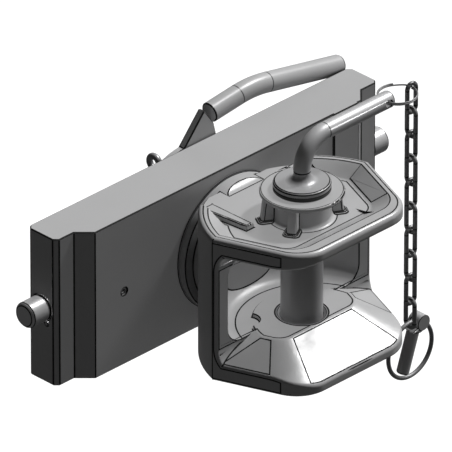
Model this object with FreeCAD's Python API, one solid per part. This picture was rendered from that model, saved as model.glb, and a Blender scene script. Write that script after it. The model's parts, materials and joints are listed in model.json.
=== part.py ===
import FreeCAD, Part
import math
import os

# Height-adjustable clevis coupling for a tractor's hitch ladder, in millimetres.
# The origin is where the locking pins' axis (X) meets the swivel axis (Y).
# -Y points out of the jaw's mouth, +Z is up.

# Slide plate that runs in the ladder's rails
PLATE_WIDTH = 330.0
PLATE_HEIGHT = 122.0
TONGUE_THICKNESS = 30.0
TONGUE_REACH = 18.0
PLATE_BEVEL = 11.0
PLATE_CHAMFER = 3.5
WEAR_PAD_RISE = 1.0
WEAR_PAD_START = 107.0
WEAR_PAD_WIDTH = 25.5
FACE_SCREW_RADIUS = 3.0
FACE_SCREW_REACH = 107.0
FACE_SCREW_SINK = 0.8
SCREW_DEPTH = 8.0

# Locking pins that hold the plate at a height of the ladder
LOCK_PIN_RADIUS = 10.0
LOCK_PIN_REACH = 18.0
LOCK_PIN_CHAMFER = 2.0
LOCK_PIN_GROOVE_DEPTH = 1.0
LOCK_PIN_GROOVE_WIDTH = 1.5
LOCK_PIN_SKIRT = 1.5
LOCK_TRAVEL = 19.0
END_SCREW_RADIUS = 1.8
END_SCREW_RISE = 0.6
END_SCREW_WALL = 0.6
END_SCREW_TURN = 25.0

# Lever behind the plate that draws both locking pins in
LEVER_SWING = 60.0
CAM_RADIUS = 60.5
CAM_THICKNESS = 6.0
PEG_RADIUS = 3.5
PEG_CIRCLE = 53.0
PEG_PROUD = 0.8
ARM_ROOT_LEFT = 22.0
ARM_ROOT_RIGHT = 32.0
ARM_ROOT_HEIGHT = 47.2
ARM_NECK_LEFT = 5.0
ARM_NECK_HEIGHT = 60.0
ARM_TIP_REACH = 16.0
ARM_TIP_HEIGHT = 84.0
ARM_CORNER_REACH = 26.0
ARM_CORNER_HEIGHT = 69.5
ARM_HEEL_REACH = 28.6
ARM_HEEL_HEIGHT = 59.0
LEVER_ROD_RADIUS = 7.75
LEVER_ROD_GAP = 0.45
LEVER_ROD_START = 28.3
LEVER_ROD_START_HEIGHT = 74.0
LEVER_ROD_BEND = 72.0
LEVER_ROD_BEND_HEIGHT = 79.0
LEVER_ROD_END = 163.0
LEVER_ROD_END_HEIGHT = 60.4
LEVER_BEND_RADIUS = 95.0
LEVER_ROD_CHAMFER = 1.6
STOP_RADIUS = 5.0
STOP_INSET = 8.0
STOP_TURN = 52.0
LEVER_SPRING_RADIUS = 27.3
LEVER_SPRING_WIRE = 2.4
LEVER_SPRING_PITCH = 3.2

# Swivel shank and what carries it in the plate
SHANK_RADIUS = 20.0
SHANK_END_RADIUS = 16.5
BUSH_WALL = 6.0
HUB_WALL = 4.0
HUB_LENGTH = 18.0
CIRCLIP_THICKNESS = 1.5
CIRCLIP_GROOVE = 1.0
CIRCLIP_RISE = 2.0
CIRCLIP_GAP = 6.0
BUSH_SINK = 2.0
SHANK_END_SPARE = 5.0
SHANK_END_CHAMFER = 2.0
ROSETTE_ROOT = 12.0
ROSETTE_ROOT_INSET = 6.0
ROSETTE_BEVEL = 2.0
WASHER_THICKNESS = 3.6
SHANK_WASHER_RADIUS = 29.0
NUT_ACROSS_FLATS = 50.0
NUT_HEIGHT = 17.0
NUT_SLOT_DEPTH = 6.0
NUT_SLOT_WIDTH = 6.0
COTTER_RADIUS = 2.5
ROSETTE_RADIUS = 53.0
ROSETTE_THICKNESS = 6.5
ROSETTE_FILLET = 9.7
THRUST_WASHER_RADIUS = 54.0
THRUST_WASHER_THICKNESS = 1.2

# Clevis jaw
PIN_REACH = 100.0
JAW_CENTRE_REACH = 112.0
JAW_REAR_RADIUS = 83.5
JAW_HALF_WIDTH = 80.0
JAW_SHOULDER_REACH = 89.0
JAW_FRONT_REACH = 157.0
JAW_SIDE_LEAN = 21.2
JAW_CORNER_RADIUS = 28.5
JAW_TOP = 58.5
JAW_BOTTOM = 59.5
JAW_TOP_ROUND = 3.8
JAW_BOTTOM_ROUND = 2.0
WEB_TOP = 50.0
RIM_WIDTH = 6.5
RIM_SLOPE = 13.0
RIM_END = 50.0
RIM_CREST_ROUND = 1.6
TRAY_ROUND = 6.0
RIM_FRONT_WIDTH = 11.0
RIM_FRONT_SLOPE = 15.0
SEAT_HEIGHT = 30.8
SEAT_STEP = 3.5
SEAT_RADIUS = 45.0
SEAT_SIDE_INSET = 27.5
SEAT_FRONT_INSET = 37.5
SEAT_CORNER_RADIUS = 14.0
SEAT_NOTCH_RADIUS = 9.0
SEAT_NOTCH_OFFSET = 2.7
SEAT_NOTCH_TURN = 47.0
SEAT_ROUND = 7.0
LIP_ROUND = 3.5
POCKET_RADIUS = 70.0
POCKET_ROUND = 13.5
WINDOW_REACH = 92.0
WINDOW_ROUND = 18.0
FLARE_LOWER = 52.0
FLARE_UPPER = 49.5
FLARE_OVERRUN = 11.0
GUSSET_INNER = 36.4
GUSSET_WIDTH = 8.6
GUSSET_REAR_WIDTH = 13.0
GUSSET_REACH = 88.0
GUSSET_REAR_REACH = 46.0
GUSSET_RISE = 4.0
GUSSET_REAR_RISE = 3.5
GUSSET_DRAFT = 1.2

# Boss that guides the coupling pin
BOSS_TOP = 72.3
BOSS_RADIUS = 21.8
BOSS_FILLET = 3.5
FLANGE_RADIUS = 31.0
FLANGE_THICKNESS = 3.2
FLANGE_ROUND = 1.0
RIB_FOOT_ROUND = 2.4
RIB_WIDTH = 7.0
RIB_FOOT_RADIUS = 33.5
RIB_ANGLES = (30.0, 150.0, 210.0, 330.0)
PIN_BUSH_WALL = 3.6

# Coupling pin and its handle
PIN_RADIUS = 15.5
PIN_TAIL = 84.0
PIN_CHAMFER = 3.0
PIN_CLEARANCE = 0.3
LINCH_HOLE_RADIUS = 5.6
LINCH_HOLE_DROP = 72.0
PIN_WASHER_RADIUS = 21.2
PIN_WASHER_THICKNESS = 2.9
HEAD_RADIUS = 21.2
HEAD_THICKNESS = 4.2
HEAD_CHAMFER = 1.2
CONE_RADIUS = 13.6
CONE_HEIGHT = 8.0
HANDLE_RADIUS = 6.5
HANDLE_RISE = 38.7
HANDLE_BEND = 25.0
HANDLE_REACH = 90.0
HANDLE_CHAMFER = 1.5
RING_HOLE_REACH = 83.2

# Split ring, chain and linch pin
RING_RADIUS = 14.5
RING_WIRE = 1.25
LINK_WIRE = 1.75
LINK_INNER_LENGTH = 20.15
LINK_OUTER_WIDTH = 12.3
LINK_COUNT = 10
LINCH_RING_RADIUS = 22.5
LINCH_RING_WIRE = 1.65
LINCH_RING_PLAY = 1.2
LINCH_RADIUS = 4.8
LINCH_LENGTH = 33.5
LINCH_CHAMFER = 1.2
LINCH_NECK_DROP = 4.0
LINCH_TILT = 19.0
LINCH_LUG_RADIUS = 6.2
LINCH_LUG_WIDTH = 11.0
LINCH_LUG_ANGLE = 24.0

# Clearances between pieces
RUN_GAP = 0.3
SLIDE_FIT = 0.05
HINGE_GAP = 0.15
CUT_OVERRUN = 0.5
WALL_OVERLAP = 1.0

# Places worked out from the sizes above
FRONT_FACE = -(TONGUE_THICKNESS / 2 + PLATE_BEVEL)
BACK_FACE = TONGUE_THICKNESS / 2
BUSH_RADIUS = SHANK_RADIUS + SLIDE_FIT + BUSH_WALL
HUB_RADIUS = SHANK_RADIUS + SLIDE_FIT + HUB_WALL
HUB_END = BACK_FACE + HUB_LENGTH
WASHER_FRONT = FRONT_FACE - RUN_GAP
ROSETTE_BACK = WASHER_FRONT - THRUST_WASHER_THICKNESS
ROSETTE_FRONT = ROSETTE_BACK - ROSETTE_THICKNESS
CAM_BACK = BACK_FACE + RUN_GAP + CAM_THICKNESS
LOCK_PIN_INNER = PEG_CIRCLE - PEG_RADIUS - LOCK_PIN_SKIRT
BORE_END = LOCK_PIN_INNER - LOCK_TRAVEL - RUN_GAP
NUT_FRONT = HUB_END + RUN_GAP + WASHER_THICKNESS
SHANK_END = NUT_FRONT + NUT_HEIGHT + SHANK_END_SPARE
PIN_BUSH_RADIUS = PIN_RADIUS + PIN_CLEARANCE + PIN_BUSH_WALL
HEAD_BASE = BOSS_TOP + PIN_WASHER_THICKNESS
HEAD_TOP = HEAD_BASE + HEAD_THICKNESS
HANDLE_TOP = BOSS_TOP + HANDLE_RISE
RING_CENTRE = RING_HOLE_REACH + RING_RADIUS
CHAIN_X = RING_CENTRE + RING_RADIUS

X_AXIS = FreeCAD.Vector(1, 0, 0)
Y_AXIS = FreeCAD.Vector(0, 1, 0)
Z_AXIS = FreeCAD.Vector(0, 0, 1)


def vec(x=0.0, y=0.0, z=0.0):
    return FreeCAD.Vector(x, y, z)


def bar(radius, start, end):
    """Round bar between two points."""
    along = end - start
    return Part.makeCylinder(radius, along.Length, start, along)


def box(low, high):
    """Box between two corners."""
    size = high - low
    return Part.makeBox(size.x, size.y, size.z, low)


def prism(points, along):
    """Straight prism on a polygon."""
    return Part.Face(Part.makePolygon(points + [points[0]])).extrude(along)


def turned(points, centre, axis):
    """Solid of revolution of a closed polygon."""
    face = Part.Face(Part.makePolygon(points + [points[0]]))
    return face.revolve(centre, axis, 360)


def mirrored(shape):
    """Copy on the other side of the middle plane X = 0."""
    return shape.mirror(vec(), X_AXIS)


def rounded_loop(points, radii):
    """Closed wire through the points, with each corner turned by its radius."""
    edges = []
    last_end = None
    first_start = None
    count = len(points)
    for index, corner in enumerate(points):
        before = (points[index - 1] - corner).normalize()
        after = (points[(index + 1) % count] - corner).normalize()
        half = before.getAngle(after) / 2
        reach = radii[index] / math.tan(half)
        start = corner + before * reach
        end = corner + after * reach
        inward = (before + after).normalize()
        middle = corner + inward * (radii[index] / math.sin(half) - radii[index])
        if last_end is None:
            first_start = start
        else:
            edges.append(Part.LineSegment(last_end, start).toShape())
        edges.append(Part.Arc(start, middle, end).toShape())
        last_end = end
    edges.append(Part.LineSegment(last_end, first_start).toShape())
    return Part.Wire(edges)


def horizontal_edges(shape, height):
    """Edges of the shape that lie at one height."""
    return [edge for edge in shape.Edges
            if abs(edge.BoundBox.ZMin - height) < 0.01 and abs(edge.BoundBox.ZMax - height) < 0.01]


# Slide plate

def plate_profile():
    """Plan of the plate, with a thin tongue at each end for the rails."""
    end = PLATE_WIDTH / 2
    cut = PLATE_CHAMFER
    half = TONGUE_THICKNESS / 2
    inner = end - TONGUE_REACH
    right = [vec(inner - PLATE_BEVEL, FRONT_FACE), vec(inner, -half), vec(end - cut, -half),
             vec(end, -half + cut), vec(end, half - cut), vec(end - cut, half)]
    left = [vec(-point.x, point.y) for point in reversed(right)]
    return right + left


def peg_slot():
    """Straight slot through the plate's back for one peg's travel."""
    wide = PEG_RADIUS + RUN_GAP
    inner = PEG_CIRCLE - LOCK_TRAVEL
    depth = BACK_FACE + 1
    slot = box(vec(inner, 0, -wide), vec(PEG_CIRCLE, depth, wide))
    for x in (inner, PEG_CIRCLE):
        slot = slot.fuse(bar(wide, vec(x), vec(x, depth)))
    return slot


def end_screw_place():
    """Centre of the small screw beside the locking pin's bore."""
    reach = LOCK_PIN_RADIUS + END_SCREW_RADIUS + END_SCREW_WALL
    turn = math.radians(END_SCREW_TURN)
    return vec(PLATE_WIDTH / 2, -reach * math.sin(turn), -reach * math.cos(turn))


def slide_plate():
    lift = vec(0, 0, PLATE_HEIGHT)
    base = [point - lift * 0.5 for point in plate_profile()]
    body = prism(base, lift)
    pad_back = FRONT_FACE + 1
    body = body.fuse(box(vec(WEAR_PAD_START, FRONT_FACE - WEAR_PAD_RISE, -PLATE_HEIGHT / 2),
                         vec(WEAR_PAD_START + WEAR_PAD_WIDTH, pad_back, PLATE_HEIGHT / 2)))
    pin_bore = bar(LOCK_PIN_RADIUS + SLIDE_FIT, vec(BORE_END), vec(PLATE_WIDTH / 2 + 1))
    screw = end_screw_place()
    screw_hole = bar(END_SCREW_RADIUS, screw - X_AXIS * SCREW_DEPTH, screw + X_AXIS)
    face_hole = bar(FACE_SCREW_RADIUS, vec(-FACE_SCREW_REACH, FRONT_FACE - 5),
                    vec(-FACE_SCREW_REACH, FRONT_FACE + SCREW_DEPTH))
    stop_hole = bar(STOP_RADIUS, stop_place() - Y_AXIS * SCREW_DEPTH, stop_place() + Y_AXIS)
    cuts = [bar(BUSH_RADIUS, vec(0, FRONT_FACE - 1), vec(0, BACK_FACE + 1)), face_hole, stop_hole]
    for cut in (pin_bore, screw_hole, peg_slot()):
        cuts += [cut, mirrored(cut)]
    return body.cut(cuts).removeSplitter()


def end_screw():
    place = end_screw_place()
    return bar(END_SCREW_RADIUS, place - X_AXIS * SCREW_DEPTH, place + X_AXIS * END_SCREW_RISE)


def face_screw():
    """Grub screw, sunk a little below the plate's front face."""
    outer = vec(-FACE_SCREW_REACH, FRONT_FACE + FACE_SCREW_SINK)
    body = bar(FACE_SCREW_RADIUS, outer, vec(-FACE_SCREW_REACH, FRONT_FACE + SCREW_DEPTH))
    socket = bar(FACE_SCREW_RADIUS / 2, outer - Y_AXIS, outer + Y_AXIS * 2)
    return body.cut(socket)


# Locking pins

def lock_pin():
    """Round bar with a chamfered free end and a wiper groove, drilled across for its peg."""
    outer = PLATE_WIDTH / 2 + LOCK_PIN_REACH
    face = outer - LOCK_PIN_CHAMFER
    groove = PLATE_WIDTH / 2
    free = groove + LOCK_PIN_GROOVE_WIDTH
    low = LOCK_PIN_RADIUS - LOCK_PIN_GROOVE_DEPTH
    outline = [vec(LOCK_PIN_INNER), vec(outer), vec(outer, LOCK_PIN_RADIUS - LOCK_PIN_CHAMFER),
               vec(face, LOCK_PIN_RADIUS), vec(free, LOCK_PIN_RADIUS), vec(free, low), vec(groove, low),
               vec(groove, LOCK_PIN_RADIUS), vec(LOCK_PIN_INNER, LOCK_PIN_RADIUS)]
    body = turned(outline, vec(), X_AXIS)
    return body.cut(bar(PEG_RADIUS, vec(PEG_CIRCLE, -PEG_RADIUS), vec(PEG_CIRCLE, LOCK_PIN_RADIUS + 1)))


def cam_peg():
    return bar(PEG_RADIUS, vec(PEG_CIRCLE, -PEG_RADIUS), vec(PEG_CIRCLE, CAM_BACK + PEG_PROUD))


# Lever

def stop_place():
    """Centre of the stop that the lever's arm rests on, on the plate's back face."""
    reach = CAM_RADIUS - STOP_INSET
    turn = math.radians(STOP_TURN)
    return vec(reach * math.cos(turn), BACK_FACE, reach * math.sin(turn))


def spiral_slot():
    """Slot in the cam disc that draws a peg in at a steady rate as the lever turns."""
    swing = math.radians(LEVER_SWING)
    lean = math.atan(LOCK_TRAVEL / swing / (PEG_CIRCLE - LOCK_TRAVEL))
    wide = (PEG_RADIUS + RUN_GAP) / math.cos(lean)
    steps = 8

    def place(share, offset):
        reach = PEG_CIRCLE - LOCK_TRAVEL * share + offset
        angle = -swing * share
        return vec(reach * math.cos(angle), BACK_FACE, reach * math.sin(angle))

    outer = Part.BSplineCurve()
    outer.interpolate([place(step / steps, wide) for step in range(steps + 1)])
    inner = Part.BSplineCurve()
    inner.interpolate([place(step / steps, -wide) for step in range(steps, -1, -1)])
    beyond = 1.05 * PEG_RADIUS / (PEG_CIRCLE - LOCK_TRAVEL) / swing
    before = 1.05 * PEG_RADIUS / PEG_CIRCLE / swing
    far_end = Part.Arc(place(1, wide), place(1 + beyond, 0), place(1, -wide))
    near_end = Part.Arc(place(0, -wide), place(-before, 0), place(0, wide))
    loop = Part.Wire([curve.toShape() for curve in (outer, far_end, inner, near_end)])
    return Part.Face(loop).extrude(Y_AXIS * (CAM_THICKNESS + 2))


def lever_plate():
    """Cam disc and arm, cut from one plate."""
    front = vec(0, BACK_FACE + RUN_GAP)
    thick = Y_AXIS * CAM_THICKNESS
    disc = Part.makeCylinder(CAM_RADIUS, CAM_THICKNESS, front, Y_AXIS)
    outline = [vec(-ARM_ROOT_LEFT, 0, ARM_ROOT_HEIGHT), vec(-ARM_NECK_LEFT, 0, ARM_NECK_HEIGHT),
               vec(ARM_TIP_REACH, 0, ARM_TIP_HEIGHT), vec(ARM_CORNER_REACH, 0, ARM_CORNER_HEIGHT),
               vec(ARM_HEEL_REACH, 0, ARM_HEEL_HEIGHT), vec(ARM_ROOT_RIGHT, 0, ARM_ROOT_HEIGHT)]
    arm = prism([point + front for point in outline], thick)
    body = disc.fuse(arm)
    slot = spiral_slot()
    other = slot.copy()
    other.rotate(vec(), Y_AXIS, 180)
    bore = bar(HUB_RADIUS + SLIDE_FIT, vec(0, BACK_FACE), vec(0, CAM_BACK + 1))
    return body.cut([slot, other, bore]).removeSplitter()


def lever_rod():
    """Bent round bar welded to the arm's edge."""
    depth = BACK_FACE + LEVER_ROD_RADIUS + LEVER_ROD_GAP
    start = vec(LEVER_ROD_START, depth, LEVER_ROD_START_HEIGHT)
    bend = vec(LEVER_ROD_BEND, depth, LEVER_ROD_BEND_HEIGHT)
    end = vec(LEVER_ROD_END, depth, LEVER_ROD_END_HEIGHT)
    before = (start - bend).normalize()
    after = (end - bend).normalize()
    half = before.getAngle(after) / 2
    reach = LEVER_BEND_RADIUS / math.tan(half)
    middle = bend + (before + after).normalize() * (LEVER_BEND_RADIUS / math.sin(half) - LEVER_BEND_RADIUS)
    arc_start = bend + before * reach
    arc_end = bend + after * reach
    path = Part.Wire([Part.LineSegment(start, arc_start).toShape(),
                      Part.Arc(arc_start, middle, arc_end).toShape(),
                      Part.LineSegment(arc_end, end).toShape()])
    section = Part.Wire(Part.makeCircle(LEVER_ROD_RADIUS, start, before * -1))
    rod = path.makePipeShell([section], True, True)
    tip = [edge for edge in rod.Edges if (edge.CenterOfMass - end).Length < 0.5]
    return rod.makeChamfer(LEVER_ROD_CHAMFER, tip)


def lever_stop():
    """Shouldered post that the arm rests against."""
    place = stop_place()
    return bar(STOP_RADIUS, place - Y_AXIS * SCREW_DEPTH, place)


def lever_spring():
    """Coil round the hub with a leg towards the stop and one towards the arm."""
    turns = 2
    coil = Part.makeHelix(LEVER_SPRING_PITCH, LEVER_SPRING_PITCH * turns, LEVER_SPRING_RADIUS)
    section = Part.Wire(Part.makeCircle(LEVER_SPRING_WIRE / 2, vec(LEVER_SPRING_RADIUS), Y_AXIS))
    spring = Part.Wire(coil.Edges).makePipeShell([section], True, True)
    spring.rotate(vec(), X_AXIS, -90)
    spring.translate(vec(0, CAM_BACK + CIRCLIP_THICKNESS + 2 * RUN_GAP + LEVER_SPRING_WIRE / 2))
    return spring


# Swivel bearing

def swivel_bush():
    """Sleeve pressed into the plate, its rear end a hub for the lever's disc."""
    inner = SHANK_RADIUS + SLIDE_FIT
    groove = CAM_BACK + RUN_GAP
    groove_end = groove + CIRCLIP_THICKNESS
    low = HUB_RADIUS - CIRCLIP_GROOVE
    outline = [(inner, FRONT_FACE), (BUSH_RADIUS, FRONT_FACE), (BUSH_RADIUS, BACK_FACE),
               (HUB_RADIUS, BACK_FACE), (HUB_RADIUS, groove), (low, groove), (low, groove_end),
               (HUB_RADIUS, groove_end), (HUB_RADIUS, HUB_END), (inner, HUB_END)]
    return turned([vec(x, y) for x, y in outline], vec(), Y_AXIS)


def hub_circlip():
    """Open ring that keeps the lever's disc on its hub."""
    front = CAM_BACK + RUN_GAP
    ring = ring_plate(HUB_RADIUS + CIRCLIP_RISE, HUB_RADIUS - CIRCLIP_GROOVE, front, CIRCLIP_THICKNESS)
    half = CIRCLIP_GAP / 2
    return ring.cut(box(vec(-half, front, -2 * HUB_RADIUS), vec(half, front + CIRCLIP_THICKNESS, 0)))


def ring_plate(outer, inner, front, thickness):
    """Flat ring round the swivel axis."""
    disc = Part.makeCylinder(outer, thickness, vec(0, front), Y_AXIS)
    return disc.cut(Part.makeCylinder(inner, thickness, vec(0, front), Y_AXIS))


def thrust_washer():
    return ring_plate(THRUST_WASHER_RADIUS, SHANK_RADIUS, ROSETTE_BACK, THRUST_WASHER_THICKNESS)


def shank_washer():
    return ring_plate(SHANK_WASHER_RADIUS, SHANK_END_RADIUS, HUB_END + RUN_GAP, WASHER_THICKNESS)


def shank_nut():
    """Castle nut on the shank's end."""
    corner = NUT_ACROSS_FLATS / 2 / math.cos(math.radians(30))
    points = [vec(corner * math.cos(math.radians(60 * side)), NUT_FRONT,
                  corner * math.sin(math.radians(60 * side))) for side in range(6)]
    body = prism(points, Y_AXIS * NUT_HEIGHT)
    back = NUT_FRONT + NUT_HEIGHT
    cuts = [bar(SHANK_END_RADIUS, vec(0, NUT_FRONT - 1), vec(0, back + 1))]
    for side in range(3):
        slot = box(vec(-corner, back - NUT_SLOT_DEPTH, -NUT_SLOT_WIDTH / 2),
                   vec(corner, back + 1, NUT_SLOT_WIDTH / 2))
        slot.rotate(vec(), Y_AXIS, 60 * side + 30)
        cuts.append(slot)
    return body.cut(cuts)


def cotter_line():
    """Middle line of the cotter through the castle nut and the shank."""
    depth = NUT_FRONT + NUT_HEIGHT - NUT_SLOT_DEPTH / 2
    reach = NUT_ACROSS_FLATS / 2 + COTTER_RADIUS + RUN_GAP
    return vec(0, depth, -reach), vec(0, depth, reach)


def cotter_pin():
    low, high = cotter_line()
    head = Part.makeTorus(2 * COTTER_RADIUS, COTTER_RADIUS, high + Z_AXIS * 2 * COTTER_RADIUS, X_AXIS)
    return bar(COTTER_RADIUS, low, high).fuse(head)


# Clevis jaw

def jaw_plan(rear_radius, side_inset, front_inset, corner_radius, height):
    """Outline of the jaw seen from above, drawn in by the given insets."""
    centre_y = -JAW_CENTRE_REACH
    slope = math.tan(math.radians(JAW_SIDE_LEAN))
    side_x = JAW_HALF_WIDTH - side_inset / math.cos(math.radians(JAW_SIDE_LEAN))
    front_y = -JAW_FRONT_REACH + front_inset
    # Where the leaning side meets the rear circle
    base = side_x + slope * (centre_y + JAW_SHOULDER_REACH)
    a = 1 + slope ** 2
    b = 2 * base * slope
    c = base ** 2 - rear_radius ** 2
    rise = (-b + math.sqrt(b ** 2 - 4 * a * c)) / (2 * a)
    shoulder = vec(base + slope * rise, centre_y + rise, height)
    corner = vec(side_x + slope * (front_y + JAW_SHOULDER_REACH), front_y, height)
    up_side = (shoulder - corner).normalize()
    half = up_side.getAngle(X_AXIS * -1) / 2
    reach = corner_radius / math.tan(half)
    on_side = corner + up_side * reach
    on_front = corner - X_AXIS * reach
    inward = (up_side - X_AXIS).normalize()
    middle = corner + inward * (corner_radius / math.sin(half) - corner_radius)

    def flip(point):
        return vec(-point.x, point.y, point.z)

    edges = [Part.Arc(shoulder, vec(0, centre_y + rear_radius, height), flip(shoulder)),
             Part.LineSegment(flip(shoulder), flip(on_side)),
             Part.Arc(flip(on_side), flip(middle), flip(on_front)),
             Part.LineSegment(flip(on_front), on_front),
             Part.Arc(on_front, middle, on_side),
             Part.LineSegment(on_side, shoulder)]
    return Part.Wire([edge.toShape() for edge in edges])


def jaw_block():
    """Solid block of the jaw, rounded at its top and bottom edges."""
    outline = jaw_plan(JAW_REAR_RADIUS, 0, 0, JAW_CORNER_RADIUS, -JAW_BOTTOM)
    block = Part.Face(outline).extrude(Z_AXIS * (JAW_BOTTOM + JAW_TOP))
    block = block.makeFillet(JAW_TOP_ROUND, horizontal_edges(block, JAW_TOP))
    return block.makeFillet(JAW_BOTTOM_ROUND, horizontal_edges(block, -JAW_BOTTOM))


def mouth_window():
    """Opening from the front, with rounded corners where the side walls start."""
    far = -2 * JAW_FRONT_REACH
    side = -2 * JAW_HALF_WIDTH
    points = [vec(side, far, -FLARE_LOWER), vec(side, far, FLARE_UPPER), vec(side, -WINDOW_REACH, FLARE_UPPER),
              vec(side, -WINDOW_REACH, -FLARE_LOWER)]
    loop = rounded_loop(points, [1, 1, WINDOW_ROUND, WINDOW_ROUND])
    return Part.Face(loop).extrude(X_AXIS * -2 * side)


def mouth_pocket():
    """Round pocket behind the coupling pin."""
    depth = SEAT_HEIGHT + SEAT_STEP
    pocket = Part.makeCylinder(POCKET_RADIUS, 2 * depth, vec(0, -JAW_CENTRE_REACH, -depth))
    rims = [edge for edge in pocket.Edges if edge.Curve.TypeId == "Part::GeomCircle"]
    return pocket.makeFillet(POCKET_ROUND, rims)


def flared_seat(depth, side):
    """Seat for the eye, with flat flanks that fall away to the lips. side is -1 below, 1 above."""
    inner = jaw_plan(SEAT_RADIUS, SEAT_SIDE_INSET, SEAT_FRONT_INSET, SEAT_CORNER_RADIUS, side * SEAT_HEIGHT)
    outer = jaw_plan(JAW_REAR_RADIUS + FLARE_OVERRUN, -FLARE_OVERRUN, 0, JAW_CORNER_RADIUS, side * depth)
    flare = Part.makeLoft([inner, outer], True, True)
    flare = flare.makeFillet(SEAT_ROUND, horizontal_edges(flare, side * SEAT_HEIGHT))
    far = JAW_FRONT_REACH + 5
    split = -WINDOW_REACH - WALL_OVERLAP
    plan = jaw_plan(JAW_REAR_RADIUS, 0, 0, JAW_CORNER_RADIUS, -far)
    front_part = box(vec(-far, -far, -far), vec(far, split, far)).common(Part.Face(plan).extrude(Z_AXIS * 2 * far))
    flare = flare.common(front_part)
    disc = Part.makeCylinder(SEAT_RADIUS, depth - SEAT_HEIGHT, vec(0, -JAW_CENTRE_REACH, side * SEAT_HEIGHT),
                             Z_AXIS * side)
    disc = disc.cut(box(vec(-far, -far, -far), vec(far, split - WALL_OVERLAP, far)))
    notch_reach = SEAT_RADIUS + SEAT_NOTCH_OFFSET
    for turn in (-1, 1):
        angle = math.radians(90 + turn * SEAT_NOTCH_TURN)
        centre = vec(notch_reach * math.cos(angle), notch_reach * math.sin(angle) - JAW_CENTRE_REACH,
                     side * SEAT_HEIGHT)
        disc = disc.cut(Part.makeCylinder(SEAT_NOTCH_RADIUS, SEAT_STEP, centre, Z_AXIS * side))
    return flare.fuse(disc)


def web_recess():
    """Shallow tray on top of the jaw, inside its raised rim and open at the rear."""
    floor_side = RIM_WIDTH + RIM_SLOPE
    floor = jaw_plan(JAW_REAR_RADIUS - floor_side, floor_side, RIM_FRONT_WIDTH + RIM_FRONT_SLOPE,
                     SEAT_CORNER_RADIUS, WEB_TOP)
    crest = jaw_plan(JAW_REAR_RADIUS - RIM_WIDTH, RIM_WIDTH, RIM_FRONT_WIDTH,
                     JAW_CORNER_RADIUS - RIM_WIDTH, JAW_TOP + CUT_OVERRUN)
    tray = Part.makeLoft([floor, crest], True, True)
    tray = tray.makeFillet(TRAY_ROUND, horizontal_edges(tray, WEB_TOP))
    rear_gap = box(vec(-RIM_END, -PIN_REACH, WEB_TOP), vec(RIM_END, 0, JAW_TOP + CUT_OVERRUN))
    ends = [edge for edge in rear_gap.Edges
            if edge.BoundBox.YLength > 1 and abs(edge.CenterOfMass.z - WEB_TOP) < 0.01]
    return tray.fuse(rear_gap.makeFillet(RIM_CREST_ROUND, ends))


def gusset():
    """Low tapered rib on the web, from its rear edge towards the boss."""
    def section(reach, width, rise):
        inner = GUSSET_INNER
        top = WEB_TOP + rise
        points = [vec(inner, -reach, WEB_TOP - 1), vec(inner + width, -reach, WEB_TOP - 1),
                  vec(inner + width - GUSSET_DRAFT, -reach, top), vec(inner + GUSSET_DRAFT, -reach, top)]
        return Part.makePolygon(points + [points[0]])

    body = Part.makeLoft([section(GUSSET_REAR_REACH, GUSSET_REAR_WIDTH, GUSSET_REAR_RISE),
                          section(GUSSET_REACH, GUSSET_WIDTH, GUSSET_RISE)], True, True)
    upper = [edge for edge in body.Edges if edge.BoundBox.ZMin > WEB_TOP + GUSSET_REAR_RISE / 2]
    return body.makeFillet(GUSSET_DRAFT, upper)


def turned_boss():
    """Boss with a rounded flange and a concave foot on the web."""
    under = BOSS_TOP - FLANGE_THICKNESS
    foot = BOSS_RADIUS + BOSS_FILLET
    turn = BOSS_FILLET * (1 - math.sqrt(0.5))
    edge = FLANGE_ROUND * (1 - math.sqrt(0.5))

    def place(radius, height):
        return vec(radius, -PIN_REACH, height)

    edges = [
        Part.makePolygon([place(BOSS_RADIUS, WEB_TOP + BOSS_FILLET), place(BOSS_RADIUS, under),
                          place(FLANGE_RADIUS - FLANGE_ROUND, under)]),
        Part.Arc(place(FLANGE_RADIUS - FLANGE_ROUND, under), place(FLANGE_RADIUS - edge, under + edge),
                 place(FLANGE_RADIUS, under + FLANGE_ROUND)).toShape(),
        Part.makePolygon([place(FLANGE_RADIUS, under + FLANGE_ROUND),
                          place(FLANGE_RADIUS, BOSS_TOP - FLANGE_ROUND)]),
        Part.Arc(place(FLANGE_RADIUS, BOSS_TOP - FLANGE_ROUND), place(FLANGE_RADIUS - edge, BOSS_TOP - edge),
                 place(FLANGE_RADIUS - FLANGE_ROUND, BOSS_TOP)).toShape(),
        Part.makePolygon([place(FLANGE_RADIUS - FLANGE_ROUND, BOSS_TOP), place(0, BOSS_TOP),
                          place(0, WEB_TOP - 1), place(foot, WEB_TOP - 1), place(foot, WEB_TOP)]),
        Part.Arc(place(foot, WEB_TOP), place(BOSS_RADIUS + turn, WEB_TOP + turn),
                 place(BOSS_RADIUS, WEB_TOP + BOSS_FILLET)).toShape(),
    ]
    loop = Part.Wire([edge for part in edges for edge in part.Edges])
    return Part.Face(loop).revolve(vec(0, -PIN_REACH), Z_AXIS, 360)


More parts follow.
